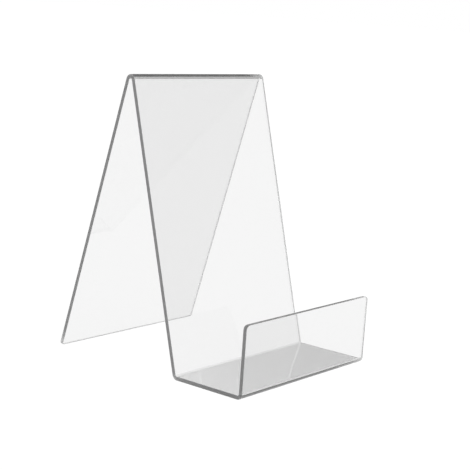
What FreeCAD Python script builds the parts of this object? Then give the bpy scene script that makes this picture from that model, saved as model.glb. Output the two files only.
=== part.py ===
import FreeCAD, Part
import os

import Sketcher

# Photo album stand: one clear acrylic sheet, bent hot along three straight lines.
# Seen from the side it runs: back leg, ridge bend, rest panel, heel bend, ledge, toe bend, front lip.
#
# Frame: X is across the sheet, -Y is the front, where the lip is, and +Z is up.
# The origin is the centre of the stand's outline on the table. Lengths are in mm, angles in degrees.

# ---------------------------------------------------------------- driving dimensions
SIZES = {
    "sheet_width": 150.0,         # width of the sheet, and so of every flat and bend
    "gauge": 3.0,                 # thickness of the sheet
    "stand_height": 212.5,        # table to the top of the ridge
    "panel_lean": 15.0,           # rest panel, back from upright
    "leg_lean": 15.0,             # back leg, out from upright
    "ledge_flat": 55.4,           # flat part of the ledge, between the heel and toe bends
    "lip_height": 53.0,           # table to the top of the front lip
    "ridge_inner_radius": 1.2,    # inside of the bend over the top
    "base_inner_radius": 1.3,     # inside of the heel and toe bends
    "lip_corner_radius": 3.5,     # free corners of the lip
    "foot_corner_radius": 1.5,    # free corners of the leg
    "edge_break": 0.3,            # small bevel along every cut edge
}

# Lengths, angles and places that follow from the sizes. The mid radius of a bend is that of the
# sheet's middle surface. Places along Y are counted from the toe bend's centre, except toe_y.
LAYOUT = {
    "ridge_mid_radius": "sizes.ridge_inner_radius + sizes.gauge / 2",
    "base_mid_radius": "sizes.base_inner_radius + sizes.gauge / 2",
    "ridge_turn": "180 - sizes.panel_lean - sizes.leg_lean",
    "heel_turn": "90 - sizes.panel_lean",
    "toe_turn": "90",
    "base_centre_z": "sizes.gauge + sizes.base_inner_radius",
    "ridge_centre_z": "sizes.stand_height - sizes.gauge - sizes.ridge_inner_radius",
    "panel_offset": "layout.ridge_mid_radius + layout.base_mid_radius",
    "panel_flat": "(layout.ridge_centre_z - layout.base_centre_z"
                  " + layout.panel_offset * sin(sizes.panel_lean)) / cos(sizes.panel_lean)",
    "foot_lift": "(sizes.gauge / 2 - sizes.edge_break) * sin(sizes.leg_lean)",
    "leg_top_z": "layout.ridge_centre_z + layout.ridge_mid_radius * sin(sizes.leg_lean)",
    "leg_flat": "(layout.leg_top_z - layout.foot_lift) / cos(sizes.leg_lean)",
    "lip_flat": "sizes.lip_height - layout.base_centre_z",
    "ridge_from_toe": "sizes.ledge_flat + layout.panel_flat * sin(sizes.panel_lean)"
                      " + layout.panel_offset * cos(sizes.panel_lean)",
    "foot_from_ridge": "(layout.ridge_mid_radius + sizes.gauge / 2) * cos(sizes.leg_lean)"
                       " + (layout.leg_flat - sizes.edge_break) * sin(sizes.leg_lean)",
    "toe_y": "(sizes.base_inner_radius + sizes.gauge"
             " - layout.ridge_from_toe - layout.foot_from_ridge) / 2",
    "heel_y": "layout.toe_y + sizes.ledge_flat",
    "ridge_y": "layout.toe_y + layout.ridge_from_toe",
}

TOLERANCE = 1e-6

doc = FreeCAD.newDocument("photo_album_stand")

sizes = doc.addObject("Spreadsheet::Sheet", "sizes")
for row, (alias, value) in enumerate(SIZES.items(), start=1):
    sizes.set(f"A{row}", alias)
    sizes.set(f"B{row}", str(value))
    sizes.setAlias(f"B{row}", alias)
doc.recompute()

layout = doc.addObject("App::VarSet", "layout")
for name in LAYOUT:
    layout.addProperty("App::PropertyFloat", name, "Layout")
for name, expression in LAYOUT.items():
    layout.setExpression(name, expression)
doc.recompute()


# ---------------------------------------------------------------- shared steps
def new_body(label):
    """Start a sub-part with its own label."""
    body = doc.addObject("PartDesign::Body", label)
    body.Label = label
    return body


def place(body, y, z, tilt):
    """Put the body's origin at (0, y, z) and tilt it about X; each of the three is an expression."""
    body.Placement = FreeCAD.Placement(FreeCAD.Vector(), FreeCAD.Rotation(FreeCAD.Vector(1, 0, 0), 90))
    body.setExpression("Placement.Base.y", y)
    body.setExpression("Placement.Base.z", z)
    body.setExpression("Placement.Rotation.Angle", tilt)


def rectangle(body, name, near, far):
    """Draw a sheet-wide rectangle on the body's XY plane, from near to far along Y."""
    sketch = body.newObject("Sketcher::SketchObject", name)
    plane = next(item for item in body.Origin.OriginFeatures if item.Role == "XY_Plane")
    sketch.AttachmentSupport = [(plane, "")]
    sketch.MapMode = "FlatFace"
    half, low, high = 10.0, 5.0, 20.0
    corners = [
        FreeCAD.Vector(-half, low, 0),
        FreeCAD.Vector(half, low, 0),
        FreeCAD.Vector(half, high, 0),
        FreeCAD.Vector(-half, high, 0),
    ]
    for start, end in zip(corners, corners[1:] + corners[:1]):
        sketch.addGeometry(Part.LineSegment(start, end), False)
    bottom, right, top, left = range(4)
    for line, following in ((bottom, right), (right, top), (top, left), (left, bottom)):
        sketch.addConstraint(Sketcher.Constraint("Coincident", line, 2, following, 1))
    sketch.addConstraint(Sketcher.Constraint("Vertical", right))
    y_axis = -2
    sketch.addConstraint(Sketcher.Constraint("Symmetric", bottom, 1, bottom, 2, y_axis))
    sketch.addConstraint(Sketcher.Constraint("Symmetric", top, 1, top, 2, y_axis))
    width = sketch.addConstraint(Sketcher.Constraint("DistanceX", bottom, 1, bottom, 2, 2 * half))
    start_y = sketch.addConstraint(Sketcher.Constraint("DistanceY", -1, 1, bottom, 1, low))
    span = sketch.addConstraint(Sketcher.Constraint("DistanceY", bottom, 2, right, 2, high - low))
    for index, label, expression in (
        (width, "width", "sizes.sheet_width"),
        (start_y, "near", near),
        (span, "span", f"{far} - ({near})"),
    ):
        sketch.renameConstraint(index, label)
        sketch.setExpression(f"Constraints.{label}", expression)
    return sketch


def edges_where(feature, test):
    """Name the feature's edges that pass the test."""
    return [f"Edge{number}" for number, edge in enumerate(feature.Shape.Edges, start=1) if test(edge)]


def dress(body, kind, name, base, edges, size, expression):
    """Add a fillet or a chamfer of one bound size to the named edges."""
    feature = body.newObject(f"PartDesign::{kind}", name)
    feature.Base = (base, edges)
    setattr(feature, size, 0.1)
    feature.setExpression(size, expression)
    doc.recompute()
    body.Tip = feature
    return feature


def points_of(edge):
    """List the points at an edge's ends."""
    return [vertex.Point for vertex in edge.Vertexes]


def near_to(value, target):
    """Tell whether two lengths are the same."""
    return abs(value - target) < TOLERANCE


# ---------------------------------------------------------------- the two kinds of sub-part
def flat(label, length, y, z, tilt, corner_radius=None):
    """Make a flat stretch of the sheet.

    Its own Y runs along the sheet and its own Z is the sheet's thickness, half of it each side of
    the XY plane. The end at Y = 0 meets a bend. The far end meets another bend, or is a free end
    with rounded corners where corner_radius is given.
    """
    body = new_body(label)
    outline = rectangle(body, f"{label}_outline", "0", length)
    pad = body.newObject("PartDesign::Pad", f"{label}_pad")
    pad.Profile = outline
    pad.SideType = "Symmetric"
    pad.setExpression("Length", "sizes.gauge")
    doc.recompute()
    tip = pad
    far_end = pad.Shape.BoundBox.YMax

    if corner_radius:
        def on_free_corner(edge):
            """Pick the short edges through the thickness at the free end."""
            first, last = points_of(edge)
            return near_to(first.y, far_end) and near_to(last.y, far_end) and near_to(first.x, last.x)

        corners = edges_where(pad, on_free_corner)
        tip = dress(body, "Fillet", f"{label}_corners", pad, corners, "Radius", corner_radius)

    joined_ends = [0.0] if corner_radius else [0.0, far_end]
    half_gauge = sizes.gauge / 2

    def on_cut_rim(edge):
        """Pick the long edges of both faces, but none where the sheet runs on into a bend."""
        ends = points_of(edge)
        on_face = any(all(near_to(point.z, side * half_gauge) for point in ends) for side in (-1, 1))
        joined = any(all(near_to(point.y, end) for point in ends) for end in joined_ends)
        return on_face and not joined

    rim = edges_where(tip, on_cut_rim)
    dress(body, "Chamfer", f"{label}_edge_break", tip, rim, "Size", "sizes.edge_break")
    place(body, y, z, tilt)
    return body


def bend(label, inner_radius, turn, y, z, start):
    """Make a bend of the sheet round the body's X axis, from the start angle through the turn.

    Angles are counted from +Y towards +Z.
    """
    body = new_body(label)
    section = rectangle(body, f"{label}_section", inner_radius, f"{inner_radius} + sizes.gauge")
    sweep = body.newObject("PartDesign::Revolution", f"{label}_sweep")
    sweep.Profile = section
    sweep.ReferenceAxis = (section, ["H_Axis"])
    sweep.setExpression("Angle", turn)
    doc.recompute()

    def is_round(edge):
        """Pick the arcs, which are the bend's cut rims."""
        return isinstance(edge.Curve, Part.Circle)

    rim = edges_where(sweep, is_round)
    dress(body, "Chamfer", f"{label}_edge_break", sweep, rim, "Size", "sizes.edge_break")
    place(body, y, z, start)
    return body


# ---------------------------------------------------------------- the sheet, from the back to the front
back_leg = flat(
    "back_leg",
    length="layout.leg_flat",
    y="layout.ridge_y + layout.ridge_mid_radius * cos(sizes.leg_lean)",
    z="layout.leg_top_z",
    tilt="sizes.leg_lean - 90",
    corner_radius="sizes.foot_corner_radius",
)

ridge_bend = bend(
    "ridge_bend",
    inner_radius="sizes.ridge_inner_radius",
    turn="layout.ridge_turn",
    y="layout.ridge_y",
    z="layout.ridge_centre_z",
    start="sizes.leg_lean",
)

rest_panel = flat(
    "rest_panel",
    length="layout.panel_flat",
    y="layout.heel_y + layout.base_mid_radius * cos(sizes.panel_lean)",
    z="layout.base_centre_z - layout.base_mid_radius * sin(sizes.panel_lean)",
    tilt="90 - sizes.panel_lean",
)

heel_bend = bend(
    "heel_bend",
    inner_radius="sizes.base_inner_radius",
    turn="layout.heel_turn",
    y="layout.heel_y",
    z="layout.base_centre_z",
    start="-90",
)

ledge = flat(
    "ledge",
    length="sizes.ledge_flat",
    y="layout.toe_y",
    z="sizes.gauge / 2",
    tilt="0",
)

toe_bend = bend(
    "toe_bend",
    inner_radius="sizes.base_inner_radius",
    turn="layout.toe_turn",
    y="layout.toe_y",
    z="layout.base_centre_z",
    start="180",
)

front_lip = flat(
    "front_lip",
    length="layout.lip_flat",
    y="layout.toe_y - layout.base_mid_radius",
    z="layout.base_centre_z",
    tilt="90",
    corner_radius="sizes.lip_corner_radius",
)

SHEET = [back_leg, ridge_bend, rest_panel, heel_bend, ledge, toe_bend, front_lip]
doc.recompute()

# ---------------------------------------------------------------- checks, then the files
for item in doc.Objects:
    if {"Invalid", "Error"} & set(item.State):
        raise RuntimeError(f"{item.Name} did not build: {item.State}")
for body in SHEET:
    if body.Shape.isNull() or not body.Shape.isValid() or len(body.Shape.Solids) != 1:
        raise RuntimeError(f"{body.Label} is not one valid solid")
for first, second in zip(SHEET, SHEET[1:]):
    gap = first.Shape.distToShape(second.Shape)[0]
    overlap = first.Shape.common(second.Shape).Volume
    if gap > TOLERANCE or overlap > TOLERANCE:
        raise RuntimeError(f"{first.Label} and {second.Label} don't meet: gap {gap}, overlap {overlap}")

os.makedirs("parts", exist_ok=True)
for body in SHEET:
    body.Shape.exportStep(f"parts/{body.Label}.step")
    print(f"{body.Label:12s} {body.Shape.Volume:10.1f} mm3")

whole = FreeCAD.BoundBox()
for body in SHEET:
    whole.add(body.Shape.BoundBox)
print(f"width {whole.XLength:.2f}, depth {whole.YLength:.2f}, height {whole.ZLength:.2f} mm")
print(f"volume {sum(body.Shape.Volume for body in SHEET):.0f} mm3")
for name in LAYOUT:
    print(f"{name} {getattr(layout, name):.3f}")
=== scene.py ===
"""Looks of the photo album stand: one clear acrylic sheet, bent hot along three straight lines."""

import logging
import math
from dataclasses import dataclass
from enum import Enum

import bpy
from mathutils import Matrix, Vector


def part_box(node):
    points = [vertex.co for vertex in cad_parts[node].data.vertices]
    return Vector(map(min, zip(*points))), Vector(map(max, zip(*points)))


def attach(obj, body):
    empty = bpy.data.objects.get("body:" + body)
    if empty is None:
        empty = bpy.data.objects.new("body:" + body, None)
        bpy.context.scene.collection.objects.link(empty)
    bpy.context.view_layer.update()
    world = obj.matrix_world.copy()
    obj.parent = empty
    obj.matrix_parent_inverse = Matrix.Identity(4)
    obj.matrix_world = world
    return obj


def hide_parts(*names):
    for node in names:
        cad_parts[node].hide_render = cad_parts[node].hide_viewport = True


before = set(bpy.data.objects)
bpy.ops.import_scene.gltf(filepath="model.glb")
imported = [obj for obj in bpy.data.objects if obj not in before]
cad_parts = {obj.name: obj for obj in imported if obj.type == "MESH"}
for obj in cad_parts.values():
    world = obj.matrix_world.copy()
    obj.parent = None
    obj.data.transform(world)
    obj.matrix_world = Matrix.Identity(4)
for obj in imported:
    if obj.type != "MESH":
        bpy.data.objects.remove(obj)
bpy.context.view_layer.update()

MM = 0.001
BODY = "root"
WHITE = (1.0, 1.0, 1.0, 1.0)
BLACK = (0.0, 0.0, 0.0, 1.0)
NOISE_DETAIL = 2.0
log = logging.getLogger("photo_album_stand")


class Mark(Enum):
    """Values that the sheet's mesh carries from point to point, for its finish to read."""

    BLANK = "blank_place"
    CUT = "cut_rim"
    ROUND = "edge_rounding"
    HEAT = "bend_heat"
    FOLD = "bend_fold"
    # Stretched side of a bend, where painted shade and some scatter go.
    STRETCH_SHADE = "bend_stretch_shade"


class Turn(Enum):
    """Which way the sheet turns at a stretch, seen from +X, going from the lip to the foot."""

    STRAIGHT = 0
    LEFT = 1
    RIGHT = -1


# ---------------------------------------------------------------- the sheet's plan
@dataclass(frozen=True)
class Stretch:
    """One flat or one bend of the sheet's middle line.

    Attributes:
        length: Length along the middle line, in metres.
        turn: Which way it bends, if it bends.
        radius: Radius of the middle line in a bend, in metres.
        steps: How many rows of faces it gets.
    """

    length: float
    turn: Turn
    radius: float
    steps: int


@dataclass(frozen=True)
class SheetPlan:
    """Sizes of the sheet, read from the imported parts, in metres and radians.

    Attributes:
        width: Across the sheet.
        gauge: Thickness.
        panel_lean: Rest panel, back from upright.
        leg_lean: Back leg, out from upright.
        base_inner: Inside radius of the toe and heel bends.
        ridge_inner: Inside radius of the bend over the top.
        lip: Flat length of the front lip.
        ledge: Flat length of the ledge.
        panel: Flat length of the rest panel.
        leg: Flat length of the back leg.
        lip_top: Middle of the lip's top edge, as (y, z).
        lip_corner: Radius of the lip's free corners.
        foot_corner: Radius of the leg's free corners.
        edge_break: Radius that the cut edges are smoothed to.
        bend_pull: How far the stretched side of a bend draws in at the cut edges.
        heat_reach: How far from a bend its heat has moved the surface.
        row_length: Longest row of faces in a flat.
        row_turn: Largest turn from row to row in a bend.
    """

    width: float
    gauge: float
    panel_lean: float
    leg_lean: float
    base_inner: float
    ridge_inner: float
    lip: float
    ledge: float
    panel: float
    leg: float
    lip_top: tuple[float, float]
    lip_corner: float = 3.5 * MM
    foot_corner: float = 1.5 * MM
    edge_break: float = 0.3 * MM
    bend_pull: float = 0.18 * MM
    heat_reach: float = 14.0 * MM
    row_length: float = 7.8 * MM
    row_turn: float = math.radians(3.8)

    @classmethod
    def from_parts(cls) -> "SheetPlan":
        """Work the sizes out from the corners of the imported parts.

        Returns:
            The plan of the sheet as it was designed.
        """
        ledge_low, ledge_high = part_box("ledge")
        toe_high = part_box("toe_bend")[1]
        heel_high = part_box("heel_bend")[1]
        ridge_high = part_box("ridge_bend")[1]
        leg_low, leg_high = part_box("back_leg")
        lip_low, lip_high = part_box("front_lip")
        gauge = ledge_high.z - ledge_low.z
        base_inner = toe_high.z - gauge
        panel_lean = math.asin((toe_high.z - heel_high.z) / base_inner)
        leg_lean = math.acos((ridge_high.y - leg_low.y) / gauge)
        ridge_outer = (ridge_high.z - leg_high.z) / (1 - math.sin(leg_lean))
        ridge_inner = ridge_outer - gauge
        offset = base_inner + ridge_inner + gauge
        rise = (ridge_high.z - ridge_outer) - toe_high.z
        panel = (rise + offset * math.sin(panel_lean)) / math.cos(panel_lean)
        foot_lift = (gauge / 2 - cls.edge_break) * math.sin(leg_lean)
        leg_top = ridge_high.z - ridge_outer + (ridge_inner + gauge / 2) * math.sin(leg_lean)
        return cls(
            width=ledge_high.x - ledge_low.x,
            gauge=gauge,
            panel_lean=panel_lean,
            leg_lean=leg_lean,
            base_inner=base_inner,
            ridge_inner=ridge_inner,
            lip=lip_high.z - lip_low.z,
            ledge=ledge_high.y - ledge_low.y,
            panel=panel,
            leg=(leg_top - foot_lift) / math.cos(leg_lean),
            lip_top=((lip_low.y + lip_high.y) / 2, lip_high.z),
        )

    def stretches(self) -> list[Stretch]:
        """List the flats and bends from the lip's top to the leg's foot.

        Returns:
            The seven stretches in order.
        """
        upright = math.pi / 2
        return [
            self._flat(self.lip),
            self._bend(Turn.LEFT, upright, self.base_inner),
            self._flat(self.ledge),
            self._bend(Turn.LEFT, upright - self.panel_lean, self.base_inner),
            self._flat(self.panel),
            self._bend(Turn.RIGHT, math.pi - self.panel_lean - self.leg_lean, self.ridge_inner),
            self._flat(self.leg),
        ]

    def _flat(self, length: float) -> Stretch:
        """Describe a flat of a length in metres."""
        return Stretch(length, Turn.STRAIGHT, 0.0, math.ceil(length / self.row_length))

    def _bend(self, turn: Turn, angle: float, inner: float) -> Stretch:
        """Describe a bend.

        Args:
            turn: Which way it goes.
            angle: How far it turns, in radians.
            inner: Its inside radius, in metres.

        Returns:
            The bend along the sheet's middle line.
        """
        radius = inner + self.gauge / 2
        return Stretch(radius * angle, turn, radius, math.ceil(angle / self.row_turn))


@dataclass(frozen=True)
class Station:
    """A place on the middle line.

    Attributes:
        along: Distance from the lip's top, in metres.
        middle: The place as (y, z).
        heading: Direction of travel there, as an angle from +Y towards +Z.
    """

    along: float
    middle: tuple[float, float]
    heading: float


class MiddleLine:
    """The sheet's middle line, walked from the lip's top to the leg's foot."""

    def __init__(self, plan: SheetPlan) -> None:
        """Lay the stretches out one after the other.

        Args:
            plan: Sizes of the sheet.
        """
        self.plan = plan
        self.legs: list[tuple[Stretch, Station]] = []
        here = Station(0.0, plan.lip_top, -math.pi / 2)
        for stretch in plan.stretches():
            self.legs.append((stretch, here))
            here = self._walk(stretch, here, stretch.length)
        self.length = here.along

    @staticmethod
    def _walk(stretch: Stretch, start: Station, distance: float) -> Station:
        """Go a distance along one stretch.

        Args:
            stretch: The flat or bend to follow.
            start: Where it starts.
            distance: How far to go, in metres.

        Returns:
            The place reached.
        """
        y, z = start.middle
        heading = start.heading
        if stretch.turn is Turn.STRAIGHT:
            y += distance * math.cos(heading)
            z += distance * math.sin(heading)
        else:
            side = stretch.turn.value
            turned = heading + side * distance / stretch.radius
            y += side * stretch.radius * (math.sin(turned) - math.sin(heading))
            z -= side * stretch.radius * (math.cos(turned) - math.cos(heading))
            heading = turned
        return Station(start.along + distance, (y, z), heading)

    def at(self, along: float) -> Station:
        """Find the station at a distance from the lip's top.

        Args:
            along: The distance, in metres.

        Returns:
            The station there.
        """
        stretch, start = self.legs[0]
        for candidate, opening in self.legs:
            if along >= opening.along:
                stretch, start = candidate, opening
        return self._walk(stretch, start, along - start.along)

    def rows(self) -> list[float]:
        """List the distances at which the mesh has a row of points, corners left out.

        Returns:
            The distances in order, from the end of the lip's corners to the start of the foot's.
        """
        first, last = self.plan.lip_corner, self.length - self.plan.foot_corner
        places = []
        for stretch, start in self.legs:
            for step in range(stretch.steps):
                places.append(start.along + stretch.length * step / stretch.steps)
        inner = [place for place in places if first < place < last]
        return [first, *inner, last]

    def heat(self, along: float) -> float:
        """Tell how strongly the heat of the nearest bend has reached a place.

        Args:
            along: Distance from the lip's top, in metres.

        Returns:
            1 in a bend, falling to 0 at the plan's heat_reach from it.
        """
        nearest = math.inf
        for stretch, start in self.legs:
            if stretch.turn is Turn.STRAIGHT:
                continue
            before = start.along - along
            after = along - (start.along + stretch.length)
            nearest = min(nearest, max(before, after, 0.0))
        share = min(nearest / self.plan.heat_reach, 1.0)
        return (1 - share) ** 2 * (1 + 2 * share)

    def _bend_at(self, along: float) -> tuple[Stretch, float] | None:
        """Find the bend that a place lies in.

        Args:
            along: Distance from the lip's top, in metres.

        Returns:
            The bend and the place in it, from 0 at its ends to 1 in its middle; None on a flat.
        """
        for stretch, start in self.legs:
            share = (along - start.along) / stretch.length
            if stretch.turn is not Turn.STRAIGHT and 0.0 < share < 1.0:
                return stretch, math.sin(math.pi * share)
        return None

    def fold(self, along: float) -> float:
        """Tell how tightly the sheet is folded at a place.

        Args:
            along: Distance from the lip's top, in metres.

        Returns:
            0 on a flat, and in a bend the square of its turn as a share of a full fold's.
        """
        found = self._bend_at(along)
        if found is None:
            return 0.0
        bend, _ = found
        return (bend.length / bend.radius / math.pi) ** 2

    def strain(self, along: float, height: float) -> float:
        """Tell how far a bend has stretched the sheet at a place.

        Args:
            along: Distance from the lip's top, in metres.
            height: Height above the middle surface, towards the album's side.

        Returns:
            0 on a flat and on a bend's inner side, up to 1 in the middle of its outer side.
        """
        found = self._bend_at(along)
        if found is None:
            return 0.0
        bend, middle = found
        return middle * max(0.0, 0.5 - bend.turn.value * height / self.plan.gauge)


# ---------------------------------------------------------------- shader steps
class Nodes:
    """Short names for the steps that every finish takes in a node tree."""

    def __init__(self, tree: bpy.types.NodeTree) -> None:
        """Work on one tree.

        Args:
            tree: The material's or group's node tree.
        """
        self.tree = tree

    def add(self, kind: str, **settings: object) -> bpy.types.Node:
        """Add a node and set its properties.

        Args:
            kind: The node's type, without the ShaderNode prefix.
            settings: Properties of the node.

        Returns:
            The new node.
        """
        node = self.tree.nodes.new(f"ShaderNode{kind}")
        for name, value in settings.items():
            setattr(node, name, value)
        return node

    def join(self, source: bpy.types.NodeSocket, target: bpy.types.NodeSocket) -> None:
        """Link one socket to another."""
        self.tree.links.new(source, target)

    def value(self, operation: str, *inputs: object) -> bpy.types.NodeSocket:
        """Add a Math node.

        Args:
            operation: What it works out.
            inputs: Sockets or plain numbers, in order.

        Returns:
            The socket with the result.
        """
        node = self.add("Math", operation=operation)
        for socket, given in zip(node.inputs, inputs):
            if isinstance(given, bpy.types.NodeSocket):
                self.join(given, socket)
            else:
                socket.default_value = given
        return node.outputs[0]

    def spread(self, source: bpy.types.NodeSocket, low: float, high: float) -> bpy.types.NodeSocket:
        """Map a value from 0..1 to low..high.

        Args:
            source: The value's socket.
            low: Result at 0.
            high: Result at 1.

        Returns:
            The socket with the result.
        """
        node = self.add("MapRange")
        node.inputs["To Min"].default_value = low
        node.inputs["To Max"].default_value = high
        self.join(source, node.inputs["Value"])
        return node.outputs["Result"]

    def mark(self, mark: Mark, output: str = "Fac") -> bpy.types.NodeSocket:
        """Add a node that reads one of the mesh's marks."""
        return self.add("Attribute", attribute_name=mark.value).outputs[output]

    def blend(
        self, share: bpy.types.NodeSocket, first: bpy.types.NodeSocket, second: bpy.types.NodeSocket
    ) -> bpy.types.NodeSocket:
        """Mix two surfaces.

        Args:
            share: How much of the second there is.
            first: The first surface.
            second: The second surface.

        Returns:
            The socket with the mixed surface.
        """
        mix = self.add("MixShader")
        for source, target in zip((share, first, second), mix.inputs):
            self.join(source, target)
        return mix.outputs["Shader"]


def noise_group() -> bpy.types.NodeTree:
    """Build the shared group of soft uneven marks, such as casting ripple and handling haze.

    Returns:
        A group with Place, Scale and Stretch in, and Value out, from 0 to 1.
    """
    name = "uneven_marks"
    if name in bpy.data.node_groups:
        return bpy.data.node_groups[name]
    group = bpy.data.node_groups.new(name, "ShaderNodeTree")
    side = group.interface
    side.new_socket("Place", in_out="INPUT", socket_type="NodeSocketVector")
    side.new_socket("Scale", in_out="INPUT", socket_type="NodeSocketFloat")
    side.new_socket("Stretch", in_out="INPUT", socket_type="NodeSocketVector")
    side.new_socket("Value", in_out="OUTPUT", socket_type="NodeSocketFloat")
    nodes = Nodes(group)
    start = group.nodes.new("NodeGroupInput")
    end = group.nodes.new("NodeGroupOutput")
    scaled = nodes.add("VectorMath", operation="MULTIPLY")
    nodes.join(start.outputs["Place"], scaled.inputs[0])
    nodes.join(start.outputs["Stretch"], scaled.inputs[1])
    noise = nodes.add("TexNoise", noise_dimensions="3D")
    noise.inputs["Detail"].default_value = NOISE_DETAIL
    nodes.join(scaled.outputs["Vector"], noise.inputs["Vector"])
    nodes.join(start.outputs["Scale"], noise.inputs["Scale"])
    nodes.join(noise.outputs["Fac"], end.inputs["Value"])
    return group


@dataclass(frozen=True)
class Pattern:
    """One use of the uneven marks.

    Attributes:
        scale: Marks per metre.
        stretch: How many times finer they are across, along and through the blank.
    """

    scale: float
    stretch: tuple[float, float, float]

    def place(self, nodes: Nodes, place: bpy.types.NodeSocket) -> bpy.types.NodeSocket:
        """Add the marks to a tree.

        Args:
            nodes: The tree to work in.
            place: The place to read, in metres.

        Returns:
            The socket with the marks, from 0 to 1.
        """
        marks = nodes.add("Group", node_tree=noise_group())
        nodes.join(place, marks.inputs["Place"])
        marks.inputs["Scale"].default_value = self.scale
        marks.inputs["Stretch"].default_value = self.stretch
        return marks.outputs["Value"]


# ---------------------------------------------------------------- finishes
@dataclass(frozen=True)
class Surface:
    """What the steps of the acrylic's finish read and fill.

    Attributes:
        nodes: The material's tree.
        place: Place on the flat blank, in metres.
        cut: 1 on a cut edge and 0 on the faces.
        heat: 1 in a bend, falling to 0 away from it.
        saw: Pattern of the saw marks.
    """

    nodes: Nodes
    place: bpy.types.NodeSocket
    cut: bpy.types.NodeSocket
    heat: bpy.types.NodeSocket
    saw: bpy.types.NodeSocket


@dataclass(frozen=True)
class ClearAcrylic:
    """Finish of the sheet: clear cast acrylic with glossy faces and smoothed saw cuts, and painted shade in
    its bends.

    Attributes:
        name: The material's name.
        ior: Index of refraction of acrylic.
        density: How much light the sheet takes up, per metre.
        shade: How much of a lamp's light each surface lets through.
        gloss: Roughness of the faces where they are cleanest.
        haze: Roughness where handling has dulled them a little.
        haze_limits: Levels of the handling marks at which that haze starts and is full.
        cut_fine: Roughness of a cut edge where it is smoothed best.
        cut_coarse: Roughness where saw marks are left.
        cut_frost: Share of a cut edge's light that its fine scratches scatter, seen from outside.
        inner_frost: The same, seen through the sheet.
        round_frost: The same on the rounding between a face and a cut edge.
        bend_haze: Roughness that the heat leaves in a bend.
        haze_falloff: How sharply that haze ends at the flats.
        bend_scatter_and_shade: Share of the surface that scatters light and carries painted shade where a
            bend has stretched most.
        frost_and_shade_grey: Lightness of what scratches scatter, and of the painted shade in a slight bend.
        fold_shade_grey: Lightness of the painted shade in a full fold, near black.
        heat_ripple: Height of the ripple that the heater leaves by a bend, in metres.
        cast_ripple: Height of the casting's own long ripple, in metres.
        saw_depth: Height of the smoothed saw marks, in metres.
        handling: Pattern of the handling marks.
        heating: Pattern of the heater's ripple.
        casting: Pattern of the casting's ripple.
        sawing: Pattern of the saw marks.
    """

    name: str = "clear_acrylic"
    ior: float = 1.49
    density: float = 34.0
    shade: float = 0.93
    gloss: float = 0.005
    haze: float = 0.012
    haze_limits: tuple[float, float] = (0.45, 0.8)
    cut_fine: float = 0.3
    cut_coarse: float = 0.5
    cut_frost: float = 0.18
    inner_frost: float = 0.6
    round_frost: float = 0.6
    bend_haze: float = 0.08
    haze_falloff: float = 10.0
    # Painted shade in the bends: a share of dark scatter on their stretched sides.
    bend_scatter_and_shade: float = 0.27
    frost_and_shade_grey: float = 0.78
    # Near-black painted shade for the tightest bends.
    fold_shade_grey: float = 0.02
    heat_ripple: float = 0.012 * MM
    cast_ripple: float = 0.004 * MM
    saw_depth: float = 0.004 * MM
    handling: Pattern = Pattern(22.0, (1.0, 1.0, 1.0))
    heating: Pattern = Pattern(160.0, (0.12, 1.0, 0.0))
    casting: Pattern = Pattern(28.0, (1.0, 0.7, 0.0))
    sawing: Pattern = Pattern(900.0, (1.0, 1.0, 0.12))

    def make(self) -> bpy.types.Material:
        """Build the material.

        Returns:
            The finished material.
        """
        material = bpy.data.materials.new(self.name)
        material.use_nodes = True
        material.node_tree.nodes.clear()
        nodes = Nodes(material.node_tree)
        place = nodes.mark(Mark.BLANK, "Vector")
        saw = self.sawing.place(nodes, place)
        surface = Surface(nodes, place, nodes.mark(Mark.CUT), nodes.mark(Mark.HEAT), saw)
        relief = self._relief(surface)
        glass = self._glass(surface, relief)
        frosted_and_shaded = nodes.blend(self._frost_and_shade_share(surface), glass, self._dulled_and_shaded(surface, relief))
        path = nodes.add("LightPath")
        passes = nodes.value("MAXIMUM", path.outputs["Is Shadow Ray"], path.outputs["Is Diffuse Ray"])
        clear = nodes.add("BsdfTransparent")
        clear.inputs["Color"].default_value = (self.shade, self.shade, self.shade, 1.0)
        absorb = nodes.add("VolumeAbsorption")
        absorb.inputs["Color"].default_value = BLACK
        absorb.inputs["Density"].default_value = self.density
        output = nodes.add("OutputMaterial")
        nodes.join(nodes.blend(passes, frosted_and_shaded, clear.outputs["BSDF"]), output.inputs["Surface"])
        nodes.join(absorb.outputs["Volume"], output.inputs["Volume"])
        return material

    def _glass(self, surface: Surface, relief: bpy.types.NodeSocket) -> bpy.types.NodeSocket:
        """Build the clear part of the surface.

        Args:
            surface: What the finish reads and fills.
            relief: The surface's normal with its fine relief.

        Returns:
            The socket with the glass.
        """
        glass = surface.nodes.add("BsdfPrincipled")
        glass.inputs["Base Color"].default_value = WHITE
        glass.inputs["Transmission Weight"].default_value = 1.0
        glass.inputs["IOR"].default_value = self.ior
        surface.nodes.join(self._roughness(surface), glass.inputs["Roughness"])
        surface.nodes.join(relief, glass.inputs["Normal"])
        return glass.outputs["BSDF"]

    def _dulled_and_shaded(self, surface: Surface, relief: bpy.types.NodeSocket) -> bpy.types.NodeSocket:
        """Build the part of the surface that scratches have dulled, with painted shade in the bends that
        darkens the tighter they fold.

        Args:
            surface: What the finish reads and fills.
            relief: The surface's normal with its fine relief.

        Returns:
            The socket with the dulled surface and its painted shade.
        """
        nodes = surface.nodes
        # The dulled surface darkens towards near black the tighter a bend folds: painted shade in the bends.
        uncut = nodes.value("SUBTRACT", 1.0, surface.cut)
        folded = nodes.value("MULTIPLY", nodes.mark(Mark.FOLD), uncut)
        shaded_frost = nodes.add("BsdfPrincipled")
        shaded_frost.inputs["IOR"].default_value = self.ior
        shaded_frost.inputs["Roughness"].default_value = self.cut_coarse
        nodes.join(nodes.spread(folded, self.frost_and_shade_grey, self.fold_shade_grey), shaded_frost.inputs["Base Color"])
        nodes.join(relief, shaded_frost.inputs["Normal"])
        return shaded_frost.outputs["BSDF"]

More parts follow.
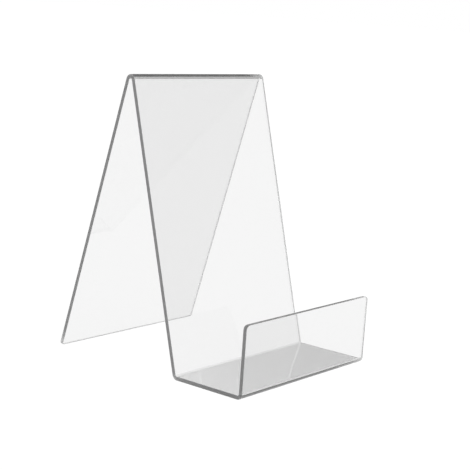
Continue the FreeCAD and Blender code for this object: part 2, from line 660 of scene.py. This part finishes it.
    def _frost_and_shade_share(self, surface: Surface) -> bpy.types.NodeSocket:
        """Work out how much of the surface is dulled by scratches, and how much carries painted shade in the
        bends.

        Args:
            surface: What the finish reads and fills.

        Returns:
            The socket with the share of scratches and of painted bend shade, from 0 to 1.
        """
        nodes = surface.nodes
        inside = nodes.add("NewGeometry").outputs["Backfacing"]
        scratches = nodes.spread(inside, self.cut_frost, self.inner_frost)
        on_cut = nodes.value("MULTIPLY", surface.cut, scratches)
        on_round = nodes.value("MULTIPLY", nodes.mark(Mark.ROUND), self.round_frost)
        # Painted shade, with some scatter, on the stretched side of each bend.
        bend_shade = nodes.value("MULTIPLY", nodes.mark(Mark.STRETCH_SHADE), self.bend_scatter_and_shade)
        return nodes.value("MAXIMUM", nodes.value("MAXIMUM", on_cut, on_round), bend_shade)

    def _relief(self, surface: Surface) -> bpy.types.NodeSocket:
        """Work out the surface's fine relief.

        Args:
            surface: What the finish reads and fills.

        Returns:
            The socket with the normal.
        """
        nodes = surface.nodes
        heating = nodes.value("MULTIPLY", self.heating.place(nodes, surface.place), surface.heat)
        casting = self.casting.place(nodes, surface.place)
        sawing = nodes.value("MULTIPLY", surface.saw, surface.cut)
        height = nodes.value(
            "ADD",
            nodes.value("MULTIPLY", heating, self.heat_ripple),
            nodes.value("MULTIPLY", casting, self.cast_ripple),
        )
        height = nodes.value("ADD", height, nodes.value("MULTIPLY", sawing, self.saw_depth))
        bump = nodes.add("Bump")
        bump.inputs["Distance"].default_value = 1.0
        nodes.join(height, bump.inputs["Height"])
        return bump.outputs["Normal"]

    def _roughness(self, surface: Surface) -> bpy.types.NodeSocket:
        """Work out the roughness over the surface.

        Args:
            surface: What the finish reads and fills.

        Returns:
            The socket with the roughness.
        """
        nodes = surface.nodes
        clouds = nodes.add("MapRange")
        nodes.join(self.handling.place(nodes, surface.place), clouds.inputs["Value"])
        start, full = self.haze_limits
        clouds.inputs["From Min"].default_value = start
        clouds.inputs["From Max"].default_value = full
        clouds.inputs["To Min"].default_value = self.gloss
        clouds.inputs["To Max"].default_value = self.haze
        bent = nodes.value("MULTIPLY", nodes.value("POWER", surface.heat, self.haze_falloff), self.bend_haze)
        dull = nodes.value("MAXIMUM", clouds.outputs["Result"], bent)
        face = nodes.value("MULTIPLY", dull, nodes.value("SUBTRACT", 1.0, surface.cut))
        sanded = nodes.value(
            "MULTIPLY", surface.cut, nodes.spread(surface.saw, self.cut_fine, self.cut_coarse)
        )
        return nodes.value("ADD", face, sanded)


@dataclass(frozen=True)
class PaleFloor:
    """Finish of the studio floor: plain matt white.

    Attributes:
        name: The material's name.
        white: How much light it returns.
        glow: Light of its own, which stands for the lamps under a light table.
    """

    name: str = "pale_floor"
    white: float = 0.06
    glow: float = 0.98

    def make(self) -> bpy.types.Material:
        """Build the material.

        Returns:
            The finished material.
        """
        material = bpy.data.materials.new(self.name)
        material.use_nodes = True
        surface = material.node_tree.nodes["Principled BSDF"]
        surface.inputs["Base Color"].default_value = (self.white, self.white, self.white, 1.0)
        surface.inputs["Roughness"].default_value = 1.0
        surface.inputs["Specular IOR Level"].default_value = 0.0
        surface.inputs["Emission Color"].default_value = WHITE
        surface.inputs["Emission Strength"].default_value = self.glow
        return material


# ---------------------------------------------------------------- the stand
@dataclass
class AlbumStand:
    """The stand: a flat blank with smoothed edges, bent along its middle line.

    Attributes:
        plan: Sizes of the sheet.
        finish: What the sheet is made of.
        columns: Rows of faces across the sheet.
        corner_steps: Faces round each free corner.
        round_steps: Faces across each smoothed edge.
        wall_steps: Faces across the flat of a cut edge.
    """

    plan: SheetPlan
    finish: ClearAcrylic
    columns: int = 14
    corner_steps: int = 8
    round_steps: int = 3
    wall_steps: int = 3

    def build(self) -> bpy.types.Object:
        """Make the bent sheet and give it its finish.

        Returns:
            The finished piece.
        """
        self.line = MiddleLine(self.plan)
        self.points: list[Vector] = []
        self.normals: list[Vector] = []
        self.blank: list[Vector] = []
        self.marks: dict[Mark, list[float]] = {mark: [] for mark in Mark if mark is not Mark.BLANK}
        faces = self._faces()
        mesh = bpy.data.meshes.new("acrylic_sheet")
        mesh.from_pydata(self.points, [], faces)
        mesh.validate()
        for polygon in mesh.polygons:
            polygon.use_smooth = True
        mesh.normals_split_custom_set_from_vertices(self.normals)
        self._write_marks(mesh)
        piece = bpy.data.objects.new("acrylic_sheet", mesh)
        bpy.context.scene.collection.objects.link(piece)
        self._dress(piece)
        return piece

    def _dress(self, piece: bpy.types.Object) -> None:
        """Give the piece its material and its place among the designed parts.

        Args:
            piece: The bent sheet.
        """
        piece.data.materials.append(self.finish.make())
        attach(piece, BODY)
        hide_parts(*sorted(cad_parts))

    def _write_marks(self, mesh: bpy.types.Mesh) -> None:
        """Store the marks that the finish reads on the mesh.

        Args:
            mesh: The sheet's mesh.
        """
        blank = mesh.attributes.new(Mark.BLANK.value, "FLOAT_VECTOR", "POINT")
        blank.data.foreach_set("vector", [number for place in self.blank for number in place])
        for mark, values in self.marks.items():
            attribute = mesh.attributes.new(mark.value, "FLOAT", "POINT")
            attribute.data.foreach_set("value", values)

    def _outline(self) -> list[tuple[float, float, float]]:
        """Walk the blank's right-hand side from the lip's end to the foot's end.

        Returns:
            Points as (across, along, angle): across is half the width there, and the angle is that
            of the outline's normal, from straight across at 0 to straight off either end.
        """
        plan = self.plan
        half = plan.width / 2
        quarter = math.pi / 2
        side = []
        for step in range(self.corner_steps):
            angle = quarter * (1 - step / self.corner_steps)
            radius = plan.lip_corner
            across = half - radius + radius * math.cos(angle)
            side.append((across, radius - radius * math.sin(angle), -angle))
        side += [(half, along, 0.0) for along in self.line.rows()]
        for step in range(1, self.corner_steps + 1):
            angle = quarter * step / self.corner_steps
            radius = plan.foot_corner
            across = half - radius + radius * math.cos(angle)
            side.append((across, self.line.length - radius + radius * math.sin(angle), angle))
        return side

    def _point(self, across: float, along: float, height: float, off: Vector, lift: float) -> int:
        """Add one point of the bent sheet.

        Args:
            across: Place across the blank.
            along: Place along the blank, from the lip's end.
            height: Height above the middle surface.
            off: Outline's normal there, as (across, along).
            lift: Angle of the surface's normal, from the outline's normal at 0 to up at a right angle.

        Returns:
            The point's number.
        """
        station = self.line.at(along)
        y, z = station.middle
        forward = Vector((0.0, math.cos(station.heading), math.sin(station.heading)))
        up = Vector((0.0, -forward.z, forward.y))
        strain = self.line.strain(along, height)
        drawn = 1 - 2 * self.plan.bend_pull * strain / self.plan.width
        self.points.append(Vector((across * drawn, y, z)) + up * height)
        level = Vector((off.x, 0.0, 0.0)) + forward * off.y
        self.normals.append((level * math.cos(lift) + up * math.sin(lift)).normalized())
        self.blank.append(Vector((across, along, height)))
        self.marks[Mark.CUT].append(min(1.0, 2 * math.cos(lift)))
        self.marks[Mark.ROUND].append(math.sin(2 * lift) ** 2)
        self.marks[Mark.HEAT].append(self.line.heat(along))
        self.marks[Mark.FOLD].append(self.line.fold(along))
        # Share of painted shade, with some scatter, on the stretched side of a bend.
        self.marks[Mark.STRETCH_SHADE].append(math.sqrt(strain))
        return len(self.points) - 1

    def _rim_profile(self) -> list[tuple[float, float, float]]:
        """List the steps round a cut edge, from the album's side to the underside.

        Returns:
            Steps as (inset from the outline, height, lift of the normal).
        """
        half = self.plan.gauge / 2
        radius = self.plan.edge_break
        quarter = math.pi / 2
        lifts = [quarter * (1 - step / self.round_steps) for step in range(self.round_steps + 1)]
        upper = [(radius * (1 - math.cos(a)), half - radius + radius * math.sin(a), a) for a in lifts]
        flat = half - radius
        wall = [(0.0, flat - 2 * flat * step / self.wall_steps, 0.0) for step in range(1, self.wall_steps)]
        lower = [(inset, -height, -lift) for inset, height, lift in reversed(upper)]
        return upper + wall + lower

    def _faces(self) -> list[tuple[int, ...]]:
        """Lay out the points and list the faces between them.

        Returns:
            The faces, as the numbers of their points.
        """
        side = self._outline()
        profile = self._rim_profile()
        last = len(side) - 1

        def rim_place(row: int, column: int) -> tuple[float, float, Vector]:
            """Find a point of the blank's outline.

            Args:
                row: Which point of the side it is level with.
                column: Which column it is in, from the left.

            Returns:
                Its places across and along, and the outline's normal there, as (across, along).
            """
            across, along, angle = side[row]
            share = 2 * column / self.columns - 1
            if 0 < column < self.columns:
                return across * share, along, Vector((0.0, -1.0 if row == 0 else 1.0))
            return across * share, along, Vector((share * math.cos(angle), math.sin(angle)))

        rings: list[dict[tuple[int, int], int]] = []
        loop = [(0, column) for column in range(self.columns + 1)]
        loop += [(row, self.columns) for row in range(1, last + 1)]
        loop += [(last, column) for column in range(self.columns - 1, -1, -1)]
        loop += [(row, 0) for row in range(last - 1, 0, -1)]
        for inset, height, lift in profile:
            ring = {}
            for row, column in loop:
                across, along, off = rim_place(row, column)
                ring[(row, column)] = self._point(
                    across - inset * off.x, along - inset * off.y, height, off, lift
                )
            rings.append(ring)

        faces: list[tuple[int, ...]] = []
        for upper, lower in zip(rings, rings[1:]):
            for first, second in zip(loop, loop[1:] + loop[:1]):
                faces.append((upper[first], lower[first], lower[second], upper[second]))
        faces += self._fill(rings[0], side, profile[0], flip=False)
        faces += self._fill(rings[-1], side, profile[-1], flip=True)
        return faces

    def _fill(
        self,
        ring: dict[tuple[int, int], int],
        side: list[tuple[float, float, float]],
        step: tuple[float, float, float],
        flip: bool,
    ) -> list[tuple[int, ...]]:
        """Fill one of the sheet's two faces inside its rim.

        Args:
            ring: The rim's points by row and column.
            side: The blank's outline.
            step: The rim's inset, height and lift on this face.
            flip: Whether the face looks down, away from the album's side.

        Returns:
            The faces, as the numbers of their points.
        """
        inset, height, lift = step
        grid = dict(ring)
        for row in range(1, len(side) - 1):
            across, along, angle = side[row]
            edge = across - inset * math.cos(angle)
            along -= inset * math.sin(angle)
            for column in range(1, self.columns):
                share = 2 * column / self.columns - 1
                grid[(row, column)] = self._point(edge * share, along, height, Vector((0, 0)), lift)
        faces = []
        for row in range(len(side) - 1):
            for column in range(self.columns):
                corners = [(row, column), (row, column + 1), (row + 1, column + 1), (row + 1, column)]
                if flip:
                    corners.reverse()
                faces.append(tuple(grid[corner] for corner in corners))
        return faces


# ---------------------------------------------------------------- the studio
@dataclass
class Studio:
    """Floor, light and camera.

    Attributes:
        floor_size: Side of the floor, in metres.
        floor_gap: How far the floor lies under the stand, so that the two don't share a plane.
        lamp_power: Power of the lamp overhead, in watts.
        lamp_size: Side of that lamp, in metres.
        lamp_place: Where it hangs, in metres; it points at the origin.
        corner: Strength in the studio's dark corner, beside that of the rest.
        corner_turn: Middle of the dark corner, from +X towards +Y, in degrees.
        corner_side: Angles to its side at which it starts and ends to brighten, in degrees.
        corner_rise: Heights above the horizon at which it starts and ends to brighten, in degrees.
        lens: Focal length of the camera, in millimetres.
        sensor: Width of its sensor, in millimetres.
        eye: Where the camera stands, in metres.
        heading: Where it looks, from +Y towards +X, in degrees.
        dip: How far it looks down, in degrees.
        roll: How far it is turned about its own view, in degrees.
    """

    floor_size: float = 60.0
    floor_gap: float = 0.02 * MM
    lamp_power: float = 4.0
    lamp_size: float = 2.0
    lamp_place: tuple[float, float, float] = (-0.6, -0.6, 2.2)
    corner: float = 0.17
    corner_turn: float = 17.3
    corner_side: tuple[float, float] = (18.5, 32.0)
    corner_rise: tuple[float, float] = (18.0, 42.0)
    lens: float = 95.65
    sensor: float = 36.0
    eye: tuple[float, float, float] = (-0.7261, -0.5881, 0.2642)
    heading: float = 51.72
    dip: float = 10.32
    roll: float = 3.93

    def build(self) -> list[bpy.types.Object]:
        """Set the studio up.

        Returns:
            The floor, the lamp and the camera.
        """
        bpy.context.scene.view_settings.view_transform = "Standard"
        self._surround()
        return [self._floor(), self._lamp(), self._camera()]

    def _floor(self) -> bpy.types.Object:
        """Lay the floor.

        Returns:
            The floor.
        """
        half = self.floor_size / 2
        corners = [(-half, -half, 0.0), (half, -half, 0.0), (half, half, 0.0), (-half, half, 0.0)]
        mesh = bpy.data.meshes.new("studio_floor")
        mesh.from_pydata(corners, [], [(0, 1, 2, 3)])
        mesh.materials.append(PaleFloor().make())
        floor = bpy.data.objects.new("studio_floor", mesh)
        bpy.context.scene.collection.objects.link(floor)
        floor.location.z = -self.floor_gap
        return floor

    def _lamp(self) -> bpy.types.Object:
        """Hang one large soft lamp overhead.

        Returns:
            The lamp.
        """
        lamp = bpy.data.lights.new("soft_lamp", "AREA")
        lamp.size = self.lamp_size
        lamp.energy = self.lamp_power
        holder = bpy.data.objects.new("soft_lamp", lamp)
        holder.location = self.lamp_place
        holder.rotation_euler = (-Vector(holder.location)).to_track_quat("-Z", "Y").to_euler()
        bpy.context.scene.collection.objects.link(holder)
        return holder

    def _surround(self) -> None:
        """Light the room softly from all round, with one dark corner behind the stand."""
        world = bpy.data.worlds.new("studio_room")
        world.use_nodes = True
        nodes = Nodes(world.node_tree)
        parts = nodes.add("SeparateXYZ")
        nodes.join(nodes.add("TexCoord").outputs["Generated"], parts.inputs["Vector"])
        turn = nodes.value("ARCTAN2", parts.outputs["Y"], parts.outputs["X"])
        aside = nodes.value("ABSOLUTE", nodes.value("SUBTRACT", turn, math.radians(self.corner_turn)))
        rise = nodes.value("ARCSINE", parts.outputs["Z"])
        side_mask = self._fade(nodes, aside, self.corner_side)
        rise_mask = self._fade(nodes, rise, self.corner_rise)
        dark = nodes.value("MULTIPLY", side_mask, rise_mask)
        level = nodes.spread(dark, 1.0, self.corner)
        seen = nodes.add("LightPath").outputs["Is Camera Ray"]
        background = world.node_tree.nodes["Background"]
        nodes.join(nodes.value("MAXIMUM", level, seen), background.inputs["Color"])
        bpy.context.scene.world = world

    @staticmethod
    def _fade(nodes: Nodes, angle: bpy.types.NodeSocket, limits: tuple[float, float]) -> bpy.types.NodeSocket:
        """Fade softly from 1 to 0 over a range of angles.

        Args:
            nodes: The room's tree.
            angle: The angle, in radians.
            limits: Where it starts and ends to fade, in degrees.

        Returns:
            The socket with the mask.
        """
        fade = nodes.add("MapRange", interpolation_type="SMOOTHSTEP")
        fade.inputs["From Min"].default_value = math.radians(limits[0])
        fade.inputs["From Max"].default_value = math.radians(limits[1])
        fade.inputs["To Min"].default_value = 1.0
        fade.inputs["To Max"].default_value = 0.0
        nodes.join(angle, fade.inputs["Value"])
        return fade.outputs["Result"]

    def _camera(self) -> bpy.types.Object:
        """Stand the camera at its place.

        Returns:
            The camera.
        """
        camera = bpy.data.cameras.new("camera")
        camera.lens = self.lens
        camera.sensor_width = self.sensor
        holder = bpy.data.objects.new("camera", camera)
        turn = Matrix.Rotation(-math.radians(self.heading), 4, "Z")
        tilt = Matrix.Rotation(math.radians(90 - self.dip), 4, "X")
        roll = Matrix.Rotation(math.radians(self.roll), 4, "Z")
        holder.matrix_world = Matrix.Translation(self.eye) @ turn @ tilt @ roll
        bpy.context.scene.collection.objects.link(holder)
        bpy.context.scene.camera = holder
        return holder


def main() -> None:
    """Build the stand and the studio, and report each piece."""
    logging.basicConfig(level=logging.INFO, format="%(name)s: %(message)s")
    plan = SheetPlan.from_parts()
    log.info("plan %s", plan)
    stand = AlbumStand(plan, ClearAcrylic()).build()
    log.info("%s: %d faces", stand.name, len(stand.data.polygons))
    for item in Studio().build():
        log.info("%s: %s", item.name, item.type)


if __name__ == "__main__":
    main()
